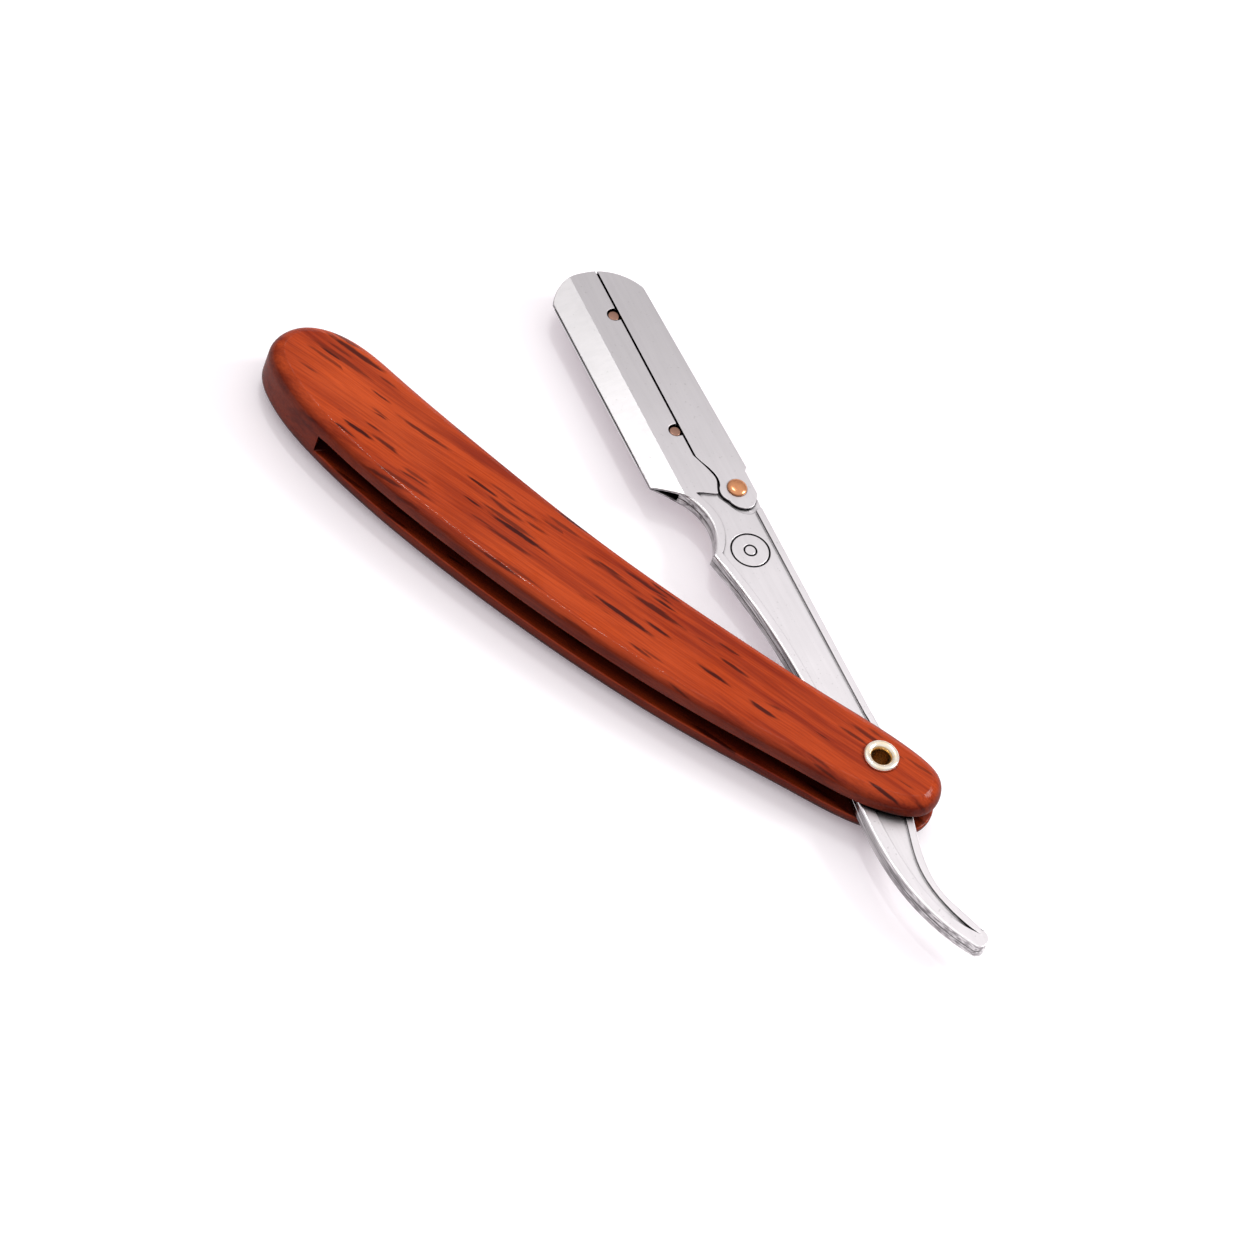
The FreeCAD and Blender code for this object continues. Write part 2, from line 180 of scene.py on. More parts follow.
# --- curves and surfaces ---
def closed_curve(points, count):
    """A smooth closed curve: a periodic cubic spline over the chord length through the points,
    read at count even steps of that length."""
    knots = np.asarray(points, float)
    n = len(knots)
    after = np.roll(knots, -1, 0)
    step = np.linalg.norm(after - knots, axis=1)
    before = np.roll(step, 1)
    slope = (after - knots) / step[:, None]
    row = np.arange(n)
    system = np.zeros((n, n))
    system[row, row] = 2 * (before + step)
    system[row, row - 1] = before
    system[row, (row + 1) % n] = step
    bend = np.linalg.solve(system, 6 * (slope - np.roll(slope, 1, 0)))
    start = np.concatenate([[0.0], np.cumsum(step)])
    at = np.linspace(0, start[-1], count, endpoint=False)
    k = np.clip(np.searchsorted(start, at, side="right") - 1, 0, n - 1)
    h = step[k][:, None]
    b = (at - start[k])[:, None]
    a = h - b
    nxt = (k + 1) % n
    cubic = (bend[k] * a ** 3 + bend[nxt] * b ** 3) / (6 * h)
    return cubic + (knots[k] / h - bend[k] * h / 6) * a + (knots[nxt] / h - bend[nxt] * h / 6) * b


def smooth_step(x):
    """Rises from 0 to 1 as x does, with level ends: 3x squared less 2x cubed."""
    x = np.clip(x, 0, 1)
    return x * x * (3 - 2 * x)


def grid_faces(rows, columns, closed):
    """The four-sided faces of a grid of points, row after row. A closed grid joins its ends."""
    j = np.arange(rows - 1)[:, None]
    i = np.arange(columns if closed else columns - 1)[None, :]
    nxt = (i + 1) % columns
    here, above = j * columns, (j + 1) * columns
    corners = [here + i, here + nxt, above + nxt, above + i]
    return np.stack([np.broadcast_to(c, (rows - 1, i.shape[1])) for c in corners], -1).reshape(-1, 4)


def solid_from_grids(name, grids, weld=1e-6):
    """One closed mesh from grids of points whose edges meet. Each grid is (points, closed), with
    points of shape (rows, columns, 3). Points that meet are welded and faces turned outwards."""
    points = []
    faces = []
    base = 0
    for grid, closed in grids:
        rows, columns = grid.shape[:2]
        points.append(grid.reshape(-1, 3))
        faces.append(grid_faces(rows, columns, closed) + base)
        base += rows * columns
    mesh = bpy.data.meshes.new(name)
    mesh.from_pydata(np.concatenate(points).tolist(), [], np.concatenate(faces).tolist())
    tidy = bmesh.new()
    tidy.from_mesh(mesh)
    bmesh.ops.remove_doubles(tidy, verts=tidy.verts, dist=weld)
    bmesh.ops.dissolve_degenerate(tidy, edges=tidy.edges, dist=weld)
    bmesh.ops.recalc_face_normals(tidy, faces=tidy.faces)
    tidy.to_mesh(mesh)
    tidy.free()
    return placed(name, mesh)


def placed(name, mesh, sharp_degrees=38.0):
    """The mesh as an object at the origin, smooth except where it turns sharply."""
    mesh.shade_smooth()
    mesh.set_sharp_from_angle(angle=math.radians(sharp_degrees))
    obj = bpy.data.objects.new(name, mesh)
    bpy.context.scene.collection.objects.link(obj)
    return obj


def lathe(name, profile, centre, segments=96):
    """A (radius, height) profile turned about the vertical line through centre."""
    profile = np.asarray(profile, float)
    turn = np.linspace(0, 2 * math.pi, segments, endpoint=False)[None, :]
    r, height = profile[:, 0][:, None], profile[:, 1][:, None]
    points = np.stack([centre[0] + r * np.cos(turn), centre[1] + r * np.sin(turn),
                       centre[2] + np.broadcast_to(height, (len(profile), segments))], -1)
    return solid_from_grids(name, [(points, True)])


def quarter_round(r0, z0, r1, z1, steps=8):
    """Points on a quarter of an ellipse from (r0, z0), where it stands upright, to (r1, z1)."""
    turn = np.linspace(0, math.pi / 2, steps)
    return np.stack([r1 + (r0 - r1) * np.cos(turn), z0 + (z1 - z0) * np.sin(turn)], 1)


# --- the handle ---
# The outline's points seen from above, anticlockwise from the pivot's end: the hollow front, the
# broad end and the belly.
HANDLE_OUTLINE = np.array([
    (4.5, 6.5), (-12.0, 7.0), (-38.0, 7.8), (-62.0, 9.8), (-90.0, 14.2), (-112.0, 18.8),
    (-125.0, 20.5), (-133.0, 16.6), (-134.6, 9.8), (-130.0, 4.6), (-117.3, -1.0), (-90.3, -6.7),
    (-62.0, -9.9), (-35.0, -10.75), (-10.0, -9.7), (5.5, -7.7), (12.4, -2.8), (11.6, 3.6),
]) * MM


class HandleShape:
    """The handle's outline seen along the pivot, its middle line and the slot's two corners."""

    DENSE = 8000                # points read along the whole outline
    COLUMNS_SLOT = 640          # columns of the mesh along the slot's mouth
    COLUMNS_END = 150           # round the solid end
    COLUMNS_ARC = 60            # and along the slot's closed end
    NODE_STEP = 1.2 * MM        # between points of the middle line
    HALF_RING = 12              # points on half of the pivot hole's rim
    RING_REACH = 4 * MM         # the flat runs in to that rim this near to the pivot, along X
    LINE_BLEND = 12 * MM        # length over which the middle line swings over to the pivot
    NEAR_STOP = 8 * MM          # the middle line stops this short of the pivot's end
    FAR_STOP = 9 * MM           # and this short of the broad end, or of the slot's closed end
    ROUND_FROM = 0.35           # share of half the length at which the rounding starts to grow
    ROUND_OVER = 0.6            # share of half the length over which it grows
    RIM_RUN = 3 * MM            # length over which the slot's rims start to be rounded

    def __init__(self, s):
        self.s = s
        self.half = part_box("handle")[1].z
        self.slot_z = s.slot_width / 2
        self.path = closed_curve(HANDLE_OUTLINE, self.DENSE)
        ahead = np.roll(self.path, -1, 0) - np.roll(self.path, 1, 0)
        ahead /= np.linalg.norm(ahead, axis=1)[:, None]
        self.inward = np.stack([-ahead[:, 1], ahead[:, 0]], 1)
        self.low_x, self.high_x = self.path[:, 0].min(), self.path[:, 0].max()
        self._middle()
        far = np.flatnonzero(np.hypot(*self.path.T) > s.slot_reach)
        first, last = far.min(), far.max()
        self.at_end = np.linspace(first, last, self.COLUMNS_END)
        self.at_slot = np.linspace(last, first + self.DENSE, self.COLUMNS_SLOT)

    def _middle(self):
        """The line halfway between the hollow front and the belly, drawn to the pivot's centre."""
        left, right = self.path[:, 0].argmin(), self.path[:, 0].argmax()
        ring = np.roll(self.path, -right, 0)
        split = (left - right) % self.DENSE
        top, belly = ring[:split + 1][::-1], ring[split:]
        x = np.linspace(self.low_x, self.high_x, 400)
        y = (np.interp(x, top[:, 0], top[:, 1]) + np.interp(x, belly[:, 0], belly[:, 1])) / 2
        self.mid_x = x
        self.mid_y = y * smooth_step((np.abs(x) - self.s.hole_radius) / self.LINE_BLEND)
        self.bend_y = y

    def read(self, at):
        """Points and inward directions of the outline at these places along it."""
        wrapped = np.mod(at, self.DENSE)
        k = np.arange(self.DENSE + 1)
        loop = np.vstack([self.path, self.path[:1]])
        turn = np.vstack([self.inward, self.inward[:1]])
        xy = np.stack([np.interp(wrapped, k, loop[:, c]) for c in (0, 1)], 1)
        normal = np.stack([np.interp(wrapped, k, turn[:, c]) for c in (0, 1)], 1)
        return xy, normal

    def core(self, xy, low_x):
        """For each point of an outline, the point of the middle line, or of the pivot hole's rim,
        that the flat runs in to. Neighbours share points, so both sides of the line meet."""
        r = self.s.hole_radius
        high_x = self.high_x - self.NEAR_STOP
        ring_end = -r + math.pi * r
        path_x = [low_x, -self.RING_REACH, self.RING_REACH, high_x]
        path_q = [low_x, -r, ring_end, ring_end + high_x - r]
        q = np.interp(xy[:, 0], path_x, path_q)
        left = np.linspace(low_x, -r, int((-r - low_x) / self.NODE_STEP))
        ring = np.linspace(-r, ring_end, self.HALF_RING + 1)[1:]
        right = np.linspace(ring_end, path_q[-1], 4)[1:]
        nodes = np.concatenate([left, ring, right])
        q = nodes[np.abs(q[:, None] - nodes[None, :]).argmin(1)]
        turn = math.pi - (np.clip(q, -r, ring_end) + r) / r
        side = np.where(xy[:, 1] >= np.interp(xy[:, 0], self.mid_x, self.mid_y), 1.0, -1.0)
        x = np.where(q < -r, q, np.where(q > ring_end, q - ring_end + r, r * np.cos(turn)))
        on_line = np.interp(x, self.mid_x, self.mid_y)
        y = np.where((q <= -r) | (q >= ring_end), on_line, side * r * np.sin(turn))
        return np.stack([x, y], 1)

    def shoulder(self, xy):
        """Rounding of the edges: a little larger at both ends than at mid length."""
        middle = (self.low_x + self.high_x) / 2
        reach = (self.high_x - self.low_x) / 2
        end = smooth_step((np.abs(xy[:, 0] - middle) / reach - self.ROUND_FROM) / self.ROUND_OVER)
        return self.s.round_middle + (self.s.round_ends - self.s.round_middle) * end

    def slot_rim(self):
        """Rounding of the slot's rims, which grows from nothing beside the slot's closed end."""
        run = np.minimum(self.at_slot - self.at_slot[0], self.at_slot[-1] - self.at_slot)
        run = run * np.linalg.norm(self.path[1] - self.path[0])
        return self.s.rim_round * smooth_step(run / self.RIM_RUN)

    def profile(self, rim, big):
        """Insets and heights, from the slot's rim to the flat: a quarter circle of radius rim, an
        arc of radius big that stops short of level and runs straight on, and a small parabola
        over the ridge where that meets the flat."""
        flat_z = self.half - self.s.crown
        ridge, soft = self.s.ridge, self.s.ridge_soft
        inset = []
        height = []
        for a in np.radians([0, 30, 60, 90]):
            inset.append(rim * (1 - math.sin(a)))
            height.append(self.slot_z + rim * (1 - math.cos(a)))
        for a in np.linspace(0, math.pi / 2 - ridge, 9):
            inset.append(big * (1 - math.cos(a)))
            height.append(flat_z - big + big * math.sin(a))
        ridge_in = inset[-1] + (flat_z - height[-1]) / math.tan(ridge)
        below_in, below_z = ridge_in - soft * math.cos(ridge), flat_z - soft * math.sin(ridge)
        for f in np.linspace(0, 1, 5):
            first, middle, second = (1 - f) ** 2, 2 * f * (1 - f), f * f
            inset.append(first * below_in + middle * ridge_in + second * (ridge_in + soft))
            height.append(first * below_z + (middle + second) * flat_z)
        return inset, height

    def shell(self):
        """A cheek from the slot's rim over the side and shoulder to its middle line. The flat rises
        to its crown by a parabola."""
        at = np.concatenate([self.at_slot, self.at_end[1:-1]])
        xy, normal = self.read(at)
        rim = np.zeros(len(at))
        rim[:len(self.at_slot)] = self.slot_rim()
        flat_z = self.half - self.s.crown
        big = np.minimum(self.shoulder(xy), flat_z - self.slot_z - rim)
        rows = [np.column_stack([xy + normal * d[:, None], np.broadcast_to(z, len(xy))])
                for d, z in zip(*self.profile(rim, big))]
        core = self.core(xy, self.low_x + self.FAR_STOP)
        edge = rows[-1]
        for f in np.linspace(0, 1, 10)[1:]:
            flat = edge[:, :2] * (1 - f) + core * f
            rise = flat_z + self.s.crown * (1 - (1 - f) ** 2)
            rows.append(np.column_stack([flat, np.full(len(flat), rise)]))
        return np.stack(rows)

    def slot_face(self):
        """The flat inner face of a cheek, from the slot's rim and round end to its middle line."""
        xy, normal = self.read(self.at_slot)
        loop = np.vstack([xy + normal * self.slot_rim()[:, None], self.slot_arc()[1:-1]])
        core = self.core(loop, -self.s.slot_reach + self.FAR_STOP)
        rows = [loop * (1 - f) + core * f for f in np.linspace(0, 1, 5)]
        return np.stack([np.column_stack([r, np.full(len(r), self.slot_z)]) for r in rows])

    def slot_arc(self):
        """The slot's closed end: an arc about the pivot between the outline's two crossings."""
        ends, _ = self.read(np.array([self.at_end[0], self.at_end[-1]]))
        turn = np.mod(np.arctan2(ends[:, 1], ends[:, 0]), 2 * math.pi)
        sweep = np.linspace(turn[0], turn[1], self.COLUMNS_ARC)
        arc = self.s.slot_reach * np.stack([np.cos(sweep), np.sin(sweep)], 1)
        arc[0], arc[-1] = ends[0], ends[1]
        return arc

    def wall(self, xy, rows=5):
        """An upright wall across the slot's width."""
        z = np.linspace(-self.slot_z, self.slot_z, rows)[:, None]
        line = np.broadcast_to(xy[None], (rows, *xy.shape))
        return np.concatenate([line, np.broadcast_to(z, line.shape[:2])[..., None]], -1)

    def bore(self):
        """The pivot hole's wall through one cheek."""
        r = self.s.hole_radius
        turn = np.arange(2 * self.HALF_RING) * math.pi / self.HALF_RING
        ring = np.stack([r * np.cos(turn), r * np.sin(turn)], 1)
        return np.stack([np.column_stack([ring, np.full(len(ring), z)])
                         for z in (self.half, self.slot_z)])


def mirrored_grid(grid):
    """The same points below the arm's middle plane."""
    return grid * np.array([1, 1, -1])


def handle_body(s):
    """The wooden handle: two cheeks round a slot, joined at the broad end. Its "grain" attribute
    is each point's place, with part of the handle's bend taken out and a small lean put in."""
    shape = HandleShape(s)
    shell, face, bore = shape.shell(), shape.slot_face(), shape.bore()
    end_xy, _ = shape.read(shape.at_end)
    grids = [(g, True) for g in (shell, mirrored_grid(shell), face, mirrored_grid(face),
                                 bore, mirrored_grid(bore))]
    grids += [(shape.wall(end_xy), False), (shape.wall(shape.slot_arc()), False)]
    handle = solid_from_grids("handle_wood", grids, weld=2e-6)
    mesh = handle.data
    co = np.zeros(len(mesh.vertices) * 3, np.float32)
    mesh.vertices.foreach_get("co", co)
    grain = co.reshape(-1, 3).copy()
    grain[:, 1] -= s.grain_follow * np.interp(grain[:, 0], shape.mid_x, shape.bend_y)
    grain[:, 1] += math.tan(s.grain_turn) * grain[:, 0]
    mesh.attributes.new("grain", "FLOAT_VECTOR", "POINT").data.foreach_set("vector", grain.ravel())
    return handle


# --- shader helpers ---
class Nodes:
    """Shorthand for building a node tree."""

    def __init__(self, tree):
        self.tree = tree

    def add(self, kind, **values):
        node = self.tree.nodes.new(kind)
        for key, value in values.items():
            setattr(node, key, value)
        return node

    def link(self, source, target):
        self.tree.links.new(source, target)

    def put(self, socket, value):
        """Links an output, or sets a plain value."""
        if isinstance(value, bpy.types.NodeSocket):
            self.link(value, socket)
        else:
            socket.default_value = value

    def math(self, operation, a, b=0.0):
        node = self.add("ShaderNodeMath", operation=operation)
        self.put(node.inputs[0], a)
        self.put(node.inputs[1], b)
        return node.outputs[0]

    def noise(self, vector, scale, detail=2.0, roughness=0.5, distortion=0.0):
        node = self.add("ShaderNodeTexNoise")
        self.link(vector, node.inputs["Vector"])
        self.put(node.inputs["Scale"], scale)
        self.put(node.inputs["Detail"], detail)
        self.put(node.inputs["Roughness"], roughness)
        self.put(node.inputs["Distortion"], distortion)
        return node.outputs["Fac"]

    def vector(self, operation, a, b=None):
        """A vector operation with one or two inputs, and the number or vector that it gives."""
        node = self.add("ShaderNodeVectorMath", operation=operation)
        self.link(a, node.inputs[0])
        if b is not None:
            self.put(node.inputs[1], b)
        number = operation in ("DOT_PRODUCT", "DISTANCE", "LENGTH")
        return node.outputs["Value" if number else "Vector"]

    def parts(self, vector):
        """The vector's X, Y and Z."""
        node = self.add("ShaderNodeSeparateXYZ")
        self.link(vector, node.inputs[0])
        return node.outputs

    def joined(self, x=0.0, y=0.0, z=0.0):
        """A vector from its X, Y and Z."""
        node = self.add("ShaderNodeCombineXYZ")
        for socket, value in zip(node.inputs, (x, y, z)):
            self.put(socket, value)
        return node.outputs[0]

    def stretch(self, vector, scale, shift=(0, 0, 0), turn=(0, 0, 0)):
        """The vector turned, stretched and shifted."""
        node = self.add("ShaderNodeMapping", vector_type="POINT")
        self.link(vector, node.inputs["Vector"])
        self.put(node.inputs["Scale"], scale)
        self.put(node.inputs["Location"], shift)
        self.put(node.inputs["Rotation"], turn)
        return node.outputs["Vector"]

    def remap(self, value, low, high, to_low=0.0, to_high=1.0):
        """Carries low to high over to to_low to to_high, smoothly, and stops there."""
        node = self.add("ShaderNodeMapRange", interpolation_type="SMOOTHSTEP")
        self.put(node.inputs["Value"], value)
        self.put(node.inputs["From Min"], low)
        self.put(node.inputs["From Max"], high)
        self.put(node.inputs["To Min"], to_low)
        self.put(node.inputs["To Max"], to_high)
        return node.outputs["Result"]

    def mix(self, factor, a, b):
        node = self.add("ShaderNodeMix", data_type="RGBA")
        self.put(node.inputs["Factor"], factor)
        self.put(node.inputs["A"], solid(a))
        self.put(node.inputs["B"], solid(b))
        return node.outputs["Result"]

    def multiply(self, a, b):
        node = self.add("ShaderNodeMix", data_type="RGBA", blend_type="MULTIPLY")
        node.inputs["Factor"].default_value = 1.0
        self.put(node.inputs["A"], solid(a))
        self.put(node.inputs["B"], solid(b))
        return node.outputs["Result"]

    def bump(self, height, distance, strength=1.0, below=None):
        node = self.add("ShaderNodeBump")
        self.put(node.inputs["Height"], height)
        self.put(node.inputs["Distance"], distance)
        self.put(node.inputs["Strength"], strength)
        if below is not None:
            self.link(below, node.inputs["Normal"])
        return node.outputs["Normal"]

    def group(self, tree, vector, **values):
        node = self.add("ShaderNodeGroup", node_tree=tree)
        self.link(vector, node.inputs["Vector"])
        for key, value in values.items():
            node.inputs[key].default_value = value
        return node.outputs


def solid(value):
    """A colour with its alpha, unless it is an output already."""
    if isinstance(value, bpy.types.NodeSocket):
        return value
    return (*value[:3], 1.0)


def material(name, **uniform):
    """A material with one Principled shader, its even values set on the shader itself."""
    mat = bpy.data.materials.new(name)
    mat.use_nodes = True
    nodes = Nodes(mat.node_tree)
    shader = mat.node_tree.nodes["Principled BSDF"]
    for key, value in uniform.items():
        shader.inputs[key.replace("_", " ")].default_value = value
    return mat, nodes, shader


def object_place(nodes):
    """The point's place in the frame, in metres."""
    return nodes.add("ShaderNodeTexCoord").outputs["Object"]


def levelness(nodes):
    """1 where a face lies level, falling to 0 where it stands upright."""
    normal = nodes.add("ShaderNodeTexCoord").outputs["Normal"]
    return nodes.math("ABSOLUTE", nodes.parts(normal)["Z"])


def effect(name, numbers, outputs):
    """An empty shader group with a Vector input, number inputs and number outputs."""
    tree = bpy.data.node_groups.new(name, "ShaderNodeTree")
    tree.interface.new_socket("Vector", in_out="INPUT", socket_type="NodeSocketVector")
    for label, default in numbers.items():
        socket = tree.interface.new_socket(label, in_out="INPUT", socket_type="NodeSocketFloat")
        socket.default_value = default
    for label in outputs:
        tree.interface.new_socket(label, in_out="OUTPUT", socket_type="NodeSocketFloat")
    nodes = Nodes(tree)
    return tree, nodes, nodes.add("NodeGroupInput").outputs, nodes.add("NodeGroupOutput").inputs


def brushing():
    """Fine lines drawn along one direction, with faint broader streaks, from 0 to 1."""
    name = "Brushing"
    if name in bpy.data.node_groups:
        return bpy.data.node_groups[name]
    tree, nodes, given, out = effect(name, {"Fineness": 9000.0, "Length": 0.03},
                                     ["Lines", "Streaks"])
    slow = nodes.math("MULTIPLY", given["Fineness"], given["Length"])
    across = nodes.joined(slow, given["Fineness"], given["Fineness"])
    drawn = nodes.vector("MULTIPLY", given["Vector"], across)
    nodes.link(nodes.noise(drawn, 1.0, 3.0, 0.6), out["Lines"])
    nodes.link(nodes.noise(drawn, 0.16, 2.0, 0.5), out["Streaks"])
    return tree


def handling():
    """Soft smudges and small dull specks left by use, each from 0 to 1."""
    name = "Handling"
    if name in bpy.data.node_groups:
        return bpy.data.node_groups[name]
    tree, nodes, given, out = effect(name, {"Smudge Size": 0.008, "Speck Size": 0.0006},
                                     ["Smudges", "Specks"])
    wide = nodes.math("DIVIDE", 1.0, given["Smudge Size"])
    small = nodes.math("DIVIDE", 1.0, given["Speck Size"])
    smudge = nodes.noise(given["Vector"], wide, 4.0, 0.62, 0.4)
    nodes.link(nodes.remap(smudge, 0.42, 0.72), out["Smudges"])
    speck = nodes.noise(given["Vector"], small, 2.0, 0.5)
    nodes.link(nodes.remap(speck, 0.66, 0.76), out["Specks"])
    return tree


def crevices():
    """How deep in a corner or gap a point lies, from 0 in the open to 1."""
    name = "Crevices"
    if name in bpy.data.node_groups:
        return bpy.data.node_groups[name]
    tree, nodes, given, out = effect(name, {"Distance": 0.001}, ["Depth"])
    open_sky = nodes.add("ShaderNodeAmbientOcclusion", samples=12)
    nodes.link(given["Distance"], open_sky.inputs["Distance"])
    nodes.link(nodes.math("SUBTRACT", 1.0, open_sky.outputs["AO"]), out["Depth"])
    return tree


# --- the wood ---
# How often each pattern repeats in a metre: along the grain, across it and through the handle.
SWAY_SCALE = (18, 60, 60)
BAND_SCALE = (16, 380, 380)
FIBRE_SCALE = (110, 3200, 3200)
PATCH_SCALE = (26, 120, 120)
RUB_SCALE = (260, 900, 900)
UNEVEN_SCALE = (500, 1400, 1400)
PORE_RAGGED_SCALE = (420, 2600, 1)
PORE_CLUSTER_SCALE = (32, 150, 1)

SWAY = 0.003                      # how far the grain sways, from side to side
PORE_LEAN = 0.4                   # how much the grain leans through the handle's thickness
PORES = (
    # length and spacing in metres, how common the pores are, shift of the pattern in cells
    (0.024, 0.0019, 0.34, 0.0),
    (0.013, 0.0014, 0.30, 0.37),
)
WHITE = (1.0, 1.0, 1.0)
FIBRE_LIGHT, FIBRE_DARK = (1.08, 1.08, 1.08), (0.80, 0.72, 0.70)
SIDE_SHADE = (0.34, 0.34, 0.60)   # painted shade: what the wood's colour is multiplied by on upright faces
SLOT_SHADE = (0.10, 0.10, 0.24)    # and painted shade deep in the slot
BROAD_END, PIVOT_END = -0.135, -0.02    # metres along the handle: lightest and darkest there
GRAIN_BUMP = 0.00006              # height of the wood's texture under the lacquer, in metres


def lacquered_wood(s):
    """Straight-grained orange-red wood with dark open pores and painted shade that darkens it where
    it turns down and deep in its slot, under clear lacquer that is thickest along the ridge."""
    mat, nodes, shader = material("Lacquered wood", Coat_Weight=0.3, Coat_Roughness=0.09,
                                  Coat_IOR=1.4, Specular_IOR_Level=0.0)
    grain = nodes.add("ShaderNodeAttribute", attribute_name="grain").outputs["Vector"]
    sway = nodes.noise(nodes.stretch(grain, SWAY_SCALE), 1.0, 2.0)
    aside = nodes.math("MULTIPLY", nodes.math("SUBTRACT", sway, 0.5), SWAY)
    along = nodes.vector("ADD", grain, nodes.joined(y=aside))
    fibre = nodes.noise(nodes.stretch(along, FIBRE_SCALE), 1.0, 3.0, 0.65)
    level = levelness(nodes)
    open_wood = wood_tone(nodes, s, grain, along, fibre)
    pores = nodes.math("MULTIPLY", pore_streaks(nodes, along),
                       nodes.remap(level, 0.05, 0.75, 0.25, 1.0))
    veined = nodes.mix(pores, open_wood, s.pore)
    # painted shade on the sides and in the slot
    nodes.link(painted_wood_shade(nodes, veined, level), shader.inputs["Base Color"])
    nodes.link(nodes.remap(fibre, 0.3, 0.7, 0.36, 0.5), shader.inputs["Roughness"])
    nodes.link(lacquer_weight(nodes, grain, level), shader.inputs["Coat Weight"])
    height = nodes.math("SUBTRACT", nodes.math("MULTIPLY", fibre, 0.25), pores)
    uneven = nodes.noise(nodes.stretch(along, UNEVEN_SCALE), 1.0, 4.0, 0.65)
    lacquer_top = nodes.bump(uneven, GRAIN_BUMP, 0.6)
    nodes.link(nodes.bump(height, GRAIN_BUMP, 0.4, lacquer_top), shader.inputs["Normal"])
    nodes.link(lacquer_top, shader.inputs["Coat Normal"])
    return mat


def wood_tone(nodes, s, grain, along, fibre):
    """The open wood's colour: dark bands, light patches that grow towards the broad end, and fine
    fibre over both."""
    bands = nodes.noise(nodes.stretch(along, BAND_SCALE), 1.0, 4.0, 0.62)
    patch = nodes.noise(nodes.stretch(along, PATCH_SCALE, (0.3, 0, 0)), 1.0, 2.0)
    banded = nodes.mix(nodes.remap(bands, 0.40, 0.68), s.wood, s.wood_dark)
    broad = nodes.remap(nodes.parts(grain)["X"], BROAD_END, PIVOT_END, 0.62, 0.12)
    lighter = nodes.math("MULTIPLY", nodes.remap(patch, 0.35, 0.70), broad)
    patched = nodes.mix(lighter, banded, s.wood_light)
    fine = nodes.mix(nodes.remap(fibre, 0.32, 0.7), FIBRE_LIGHT, FIBRE_DARK)
    return nodes.multiply(patched, fine)


def painted_wood_shade(nodes, tone, level):
    """The wood's colour with painted shade: darker on its sides and deep in its slot."""
    # painted shade on the upright sides
    side_shaded = nodes.multiply(tone, nodes.mix(nodes.remap(level, 0.35, 1.0), SIDE_SHADE, WHITE))
    # painted shade deep in the slot
    recess = nodes.group(crevices(), object_place(nodes), **{"Distance": 0.010})["Depth"]
    return nodes.multiply(side_shaded, nodes.mix(nodes.remap(recess, 0.20, 0.62), WHITE, SLOT_SHADE))


def lacquer_weight(nodes, grain, level):
    """Thin lacquer, thinner where it is handled, and full in patches along the shoulder's ridge."""
    marks = nodes.group(handling(), object_place(nodes), **{"Smudge Size": 0.012})
    thin = nodes.remap(marks["Smudges"], 0.0, 1.0, 0.34, 0.24)
    ridge = nodes.math("MULTIPLY", nodes.remap(level, 0.895, 0.93),
                       nodes.remap(level, 0.985, 0.998, 1.0, 0.0))
    patchy = nodes.remap(nodes.noise(nodes.stretch(grain, RUB_SCALE), 1.0, 3.0, 0.6), 0.35, 0.6)
    return nodes.math("MAXIMUM", thin, nodes.math("MULTIPLY", ridge, patchy))


def pore_streaks(nodes, along):
    """Dark lens-shaped streaks, long with the grain, in loose clusters and of uneven strength. The
    grain leans a little through the thickness, so that the sides show it too."""
    way = nodes.parts(along)
    lean = nodes.math("ADD", way["Y"], nodes.math("MULTIPLY", way["Z"], PORE_LEAN))
    leaned = nodes.joined(way["X"], lean)
    total = None
    for size, gap, density, shift in PORES:
        cells = nodes.add("ShaderNodeTexVoronoi", feature="F1", voronoi_dimensions="2D")
        nodes.link(nodes.stretch(leaned, (1 / size, 1 / gap, 1), (shift, shift, 0)),
                   cells.inputs["Vector"])
        cells.inputs["Scale"].default_value = 1.0
        chance = nodes.add("ShaderNodeSeparateColor")
        nodes.link(cells.outputs["Color"], chance.inputs[0])
        kept_by, strong_by, small_by = chance.outputs
        cluster = nodes.noise(nodes.stretch(leaned, PORE_CLUSTER_SCALE, (shift, 0, 0)), 1.0, 2.0)
        lift = nodes.math("MULTIPLY", nodes.math("SUBTRACT", cluster, 0.5), 1.6)
        kept = nodes.remap(nodes.math("ADD", kept_by, lift), 0.97 - density, 1.03 - density)
        ragged = nodes.noise(nodes.stretch(leaned, PORE_RAGGED_SCALE), 1.0, 3.0, 0.6)
        edge = nodes.math("ADD", cells.outputs["Distance"], nodes.math("MULTIPLY", ragged, 0.24))
        edge = nodes.math("ADD", edge, nodes.math("MULTIPLY", small_by, 0.14))
        streak = nodes.math("MULTIPLY", nodes.remap(edge, 0.30, 0.47, 1.0, 0.0), kept)
        strength = nodes.math("ADD", nodes.math("MULTIPLY", strong_by, 0.55), 0.45)
        streak = nodes.math("MULTIPLY", streak, strength)
        total = streak if total is None else nodes.math("MAXIMUM", total, streak)
    return total


# --- the metals ---
POLISH_AND_SHEEN_FROM, POLISH_AND_SHEEN_TO = 0.012, 0.115    # metres along the arm from its pivot, over which the lighter end fades: partly polish, partly painted sheen
DULL_SPECK = (0.30, 0.29, 0.28)
# pits, and painted shade that stands in for dark reflections on upright walls
WALL_SHADE = (0.085, 0.072, 0.080)
# painted shade in seams and corners
SEAM_SHADE = (0.02, 0.018, 0.02)
# painted shade deep in narrow gaps, such as under the handle's cheeks
INSIDE_SHADE = (0.01, 0.009, 0.01)


